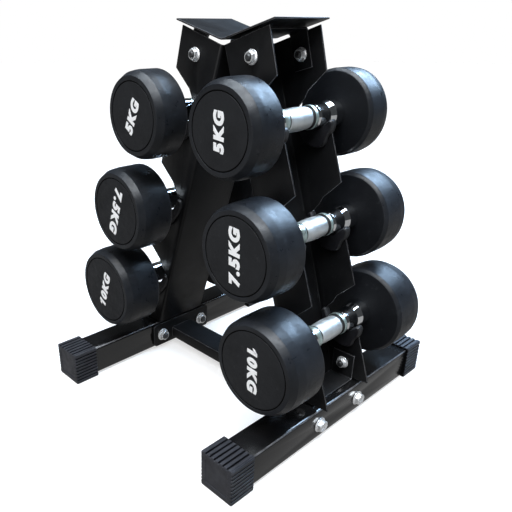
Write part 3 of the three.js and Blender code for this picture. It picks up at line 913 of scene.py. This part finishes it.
def add_hexagon(bm, size, base, direction, centre, axis, hollow):
    """A flanged hexagon from its bearing face at base, outwards along the axis."""
    bore = size["bolt"] + BORE_CLEARANCE
    rim, thick, corner, top = size["flange"], size["flange_height"], size["hex"], size["height"]
    flange = filleted(
        [
            (bore, 0, 0),
            (rim, 0, 0.3),
            (rim, thick * 0.5, 0.5),
            (corner - 0.2, thick, 0.8),
            (corner - 1.4, thick + 0.2, 0),
            (bore, thick + 0.2, 0),
        ],
        3,
    )
    points = [(p.x * MM, (base + direction * p.y) * MM) for p in flange]
    lathe(bm, points, centre, FLANGE_SEGMENTS, axis=axis)
    start = thick * 0.6
    inner = bore if hollow else size["bolt"] - 0.8
    # Each level: height over the bearing face, and the radius that the hexagon's corners are turned to.
    levels = [
        (start, corner),
        (top - 1.5, corner),
        (top - 0.9, corner - 0.35),
        (top - 0.4, corner - 0.8),
        (top, corner - 1.3),
        (top, inner + 0.9),
        (top - 0.8, inner),
    ]
    if hollow:
        levels.append((start, inner))
    rings = []
    for height, limit in levels:
        along = (base + direction * height) * MM
        ring = []
        for k in range(HEX_SEGMENTS):
            angle = 2 * math.pi * k / HEX_SEGMENTS
            radius = min(hexagon_radius(corner, angle), limit) * MM
            ring.append(bm.verts.new(turned_point(radius, angle, along, centre, axis)))
        rings.append(ring)
    for first, second in zip(rings, rings[1:]):
        join_rings(bm, first, second)
    if not hollow:
        bm.faces.new(rings[-1])
        bm.faces.new(list(reversed(rings[0])))


def add_shank(bm, size, start, end, centre, axis):
    """A threaded shank from start to end, with a chamfered tip at its end."""
    length = abs(end - start)
    direction = 1 if end > start else -1
    crest, root, pitch = size["bolt"], size["bolt"] - THREAD_DEPTH, size["pitch"]
    profile = [(0, 0), (root, 0)]
    for k in range(int(length / pitch) - 1):
        profile += [(radius, (k + share) * pitch)
                    for radius, share in ((crest, 0.35), (crest, 0.5), (root, 0.95))]
    profile += [(crest, length - TIP_CHAMFER), (crest - TIP_CHAMFER, length), (0, length)]
    points = [(r * MM, (start + direction * y) * MM) for r, y in profile]
    lathe(bm, points, centre, SHANK_SEGMENTS, axis=axis, part=lambda row: SHANK_SLOT)


def finish_fastener(name, bm, node):
    finish_mesh(name, bm, [ZINC, DULL_STEEL], "rack", [node], 25)


def make_long_bolt(side, end):
    outwards = SIDES[side]
    node = f"base_bolt_{side}_{end}"
    low, high = (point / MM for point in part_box(node))
    centre = (0, (low.y + high.y) / 2 * MM, (low.z + high.z) / 2 * MM)
    outer, inner = (high.x, low.x) if outwards > 0 else (low.x, high.x)
    bearing = outer - outwards * M10["height"]
    bm = bmesh.new()
    add_hexagon(bm, M10, bearing, outwards, centre, "x", False)
    add_shank(bm, M10, bearing, inner, centre, "x")
    finish_fastener(f"long_bolt_{side}_{end}", bm, node)

    node = f"base_nut_{side}_{end}"
    low, high = (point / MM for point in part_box(node))
    bm = bmesh.new()
    add_hexagon(bm, M10, high.x if outwards > 0 else low.x, -outwards, centre, "x", True)
    finish_fastener(f"long_bolt_nut_{side}_{end}", bm, node)


def make_short_bolt(kind, side, end):
    node = f"{kind}_bolt_{side}_{end}"
    low, high = (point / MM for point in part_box(node))
    centre = ((low.x + high.x) / 2 * MM, 0, (low.z + high.z) / 2 * MM)
    bearing = high.y - M8["height"]
    bm = bmesh.new()
    add_hexagon(bm, M8, bearing, 1, centre, "y", False)
    add_shank(bm, M8, bearing, low.y, centre, "y")
    add_hexagon(bm, M8, low.y + BOLT_END + M8["height"], -1, centre, "y", True)
    finish_fastener(f"{kind}_screw_{side}_{end}", bm, node)


def make_fasteners():
    for side in SIDES:
        for end in ENDS:
            make_long_bolt(side, end)
            make_short_bolt("tray", side, end)
            make_short_bolt("foot", side, end)


# ---------------------------------------------------------------- camera, lights and stage

# The camera: its lens and sensor in mm, its turns in radians and its place in metres.
SENSOR = 36
LENS = 39.48047
LENS_SHIFT = (0.113672, 0.053125)
CAMERA_YAW, CAMERA_PITCH, CAMERA_ROLL = 0.82916, 0.42961, -0.0027
CAMERA_PLACE = (0.52466, -0.57053, 0.509)
VIEW_END = 100

# The broad soft light from above, its width and its turns in degrees.
SKY_STRENGTH = 2.9
SKY_WIDTH = 50
SKY_TURNS = (18, 14, 0)
# Soft boxes: metres, watts, and a target to face or a turn about the vertical in degrees.
SOFT_BOXES = {
    "key": {
        "place": (0.15, 1.35, 1.65), "target": (0.05, 0, 0.25),
        "size": (1.3, 0.95), "power": 85, "color": (0.5, 0.72, 1),
    },
    "top": {
        "place": (0.15, -0.2, 2.1), "turn": -17,
        "size": (2.6, 0.6), "power": 64, "color": (0.8, 0.9, 1),
    },
    "strip": {
        "place": (0.15, 0.75, 2.0), "target": (0.12, 0, 0.3),
        "size": (1.2, 0.3), "power": 9, "color": (0.9, 0.95, 1),
    },
    "fill": {
        "place": (0.25, -2.0, 0.8), "target": (0, 0, 0.25),
        "size": (1.4, 1.0), "power": 13, "color": (1, 1, 1),
    },
}
WORLD_COLOR = (0.9, 0.95, 1)
WORLD_STRENGTH = 0.06

STAGE_RADIUS = 9
# The discs reach past the backdrop, so that no gap shows where they meet.
DISC_RADIUS = STAGE_RADIUS * 1.2
FLOOR_DROP = 0.0004
DIM_FLOOR_DROP = 0.001


def make_camera():
    yaw, pitch, roll = CAMERA_YAW, CAMERA_PITCH, CAMERA_ROLL
    forward = Vector(
        (-math.sin(yaw) * math.cos(pitch), math.cos(yaw) * math.cos(pitch), -math.sin(pitch))
    )
    level = Vector((math.cos(yaw), math.sin(yaw), 0))
    rise = level.cross(forward)
    right = level * math.cos(roll) + rise * math.sin(roll)
    up = rise * math.cos(roll) - level * math.sin(roll)
    data = bpy.data.cameras.new("camera")
    data.sensor_width = SENSOR
    data.lens = LENS
    data.shift_x, data.shift_y = LENS_SHIFT
    data.clip_end = VIEW_END
    camera = bpy.data.objects.new("camera", data)
    bpy.context.scene.collection.objects.link(camera)
    place = Matrix((right, up, -forward)).transposed().to_4x4()
    place.translation = Vector(CAMERA_PLACE)
    camera.matrix_world = place
    bpy.context.scene.camera = camera


def soft_box(name, place, size, power, color, target=None, turn=0):
    """A lit rectangle that faces target, or hangs level and is turned about the vertical."""
    data = bpy.data.lights.new(name, "AREA")
    data.shape = "RECTANGLE"
    data.size, data.size_y = size
    data.energy = power
    data.color = color
    light = bpy.data.objects.new(name, data)
    bpy.context.scene.collection.objects.link(light)
    light.location = place
    if target:
        light.rotation_euler = (Vector(target) - Vector(place)).to_track_quat("-Z", "Y").to_euler()
    else:
        light.rotation_euler.z = math.radians(turn)


def make_lights():
    world = bpy.data.worlds.new("studio")
    world.use_nodes = True
    background = world.node_tree.nodes["Background"]
    background.inputs["Color"].default_value = (*WORLD_COLOR, 1)
    background.inputs["Strength"].default_value = WORLD_STRENGTH
    bpy.context.scene.world = world

    sky = bpy.data.lights.new("sky", "SUN")
    sky.energy = SKY_STRENGTH
    sky.angle = math.radians(SKY_WIDTH)
    sun = bpy.data.objects.new("sky", sky)
    sun.rotation_euler = [math.radians(turn) for turn in SKY_TURNS]
    bpy.context.scene.collection.objects.link(sun)
    for name, settings in SOFT_BOXES.items():
        soft_box(name, **settings)
    bpy.context.scene.view_settings.view_transform = "Standard"


def stage_material(name, albedo, glow):
    """Matt paper that also glows, so that shadows on it stay faint."""
    material, shader = new_material(name, (albedo,) * 3, 0.9, Specular_IOR_Level=0.1)
    shader.inputs["Emission Color"].default_value = (1, 1, 1, 1)
    shader.inputs["Emission Strength"].default_value = glow
    return material


def stage_piece(name, bm, material, height=0.0):
    mesh = bpy.data.meshes.new(name)
    bm.to_mesh(mesh)
    bm.free()
    mesh.materials.append(material)
    piece = bpy.data.objects.new(name, mesh)
    piece.location.z = height
    bpy.context.scene.collection.objects.link(piece)
    return piece


def disc():
    bm = bmesh.new()
    bmesh.ops.create_circle(bm, cap_ends=True, segments=64, radius=DISC_RADIUS)
    return bm


def make_stage():
    floor = stage_piece("floor", disc(), stage_material("floor_paper", 0.5, 0.58), -FLOOR_DROP)
    floor.visible_glossy = False
    floor.visible_diffuse = False

    # This dimmer disc lights the undersides in place of the white floor, which keeps the blacks deep.
    dim_floor = stage_piece("dim_floor", disc(), stage_material("grey_paper", 0.0, 0.37), -DIM_FLOOR_DROP)
    dim_floor.visible_camera = False
    dim_floor.visible_shadow = False

    bm = bmesh.new()
    bmesh.ops.create_uvsphere(bm, u_segments=48, v_segments=24, radius=STAGE_RADIUS)
    backdrop = stage_piece("backdrop", bm, stage_material("backdrop_paper", 0.0, 1.0))
    backdrop.visible_diffuse = False
    backdrop.visible_glossy = False
    backdrop.visible_shadow = False


make_camera()
dress_frame()
make_dumbbells()
make_covers()
make_caps()
make_fasteners()
make_stage()
make_lights()
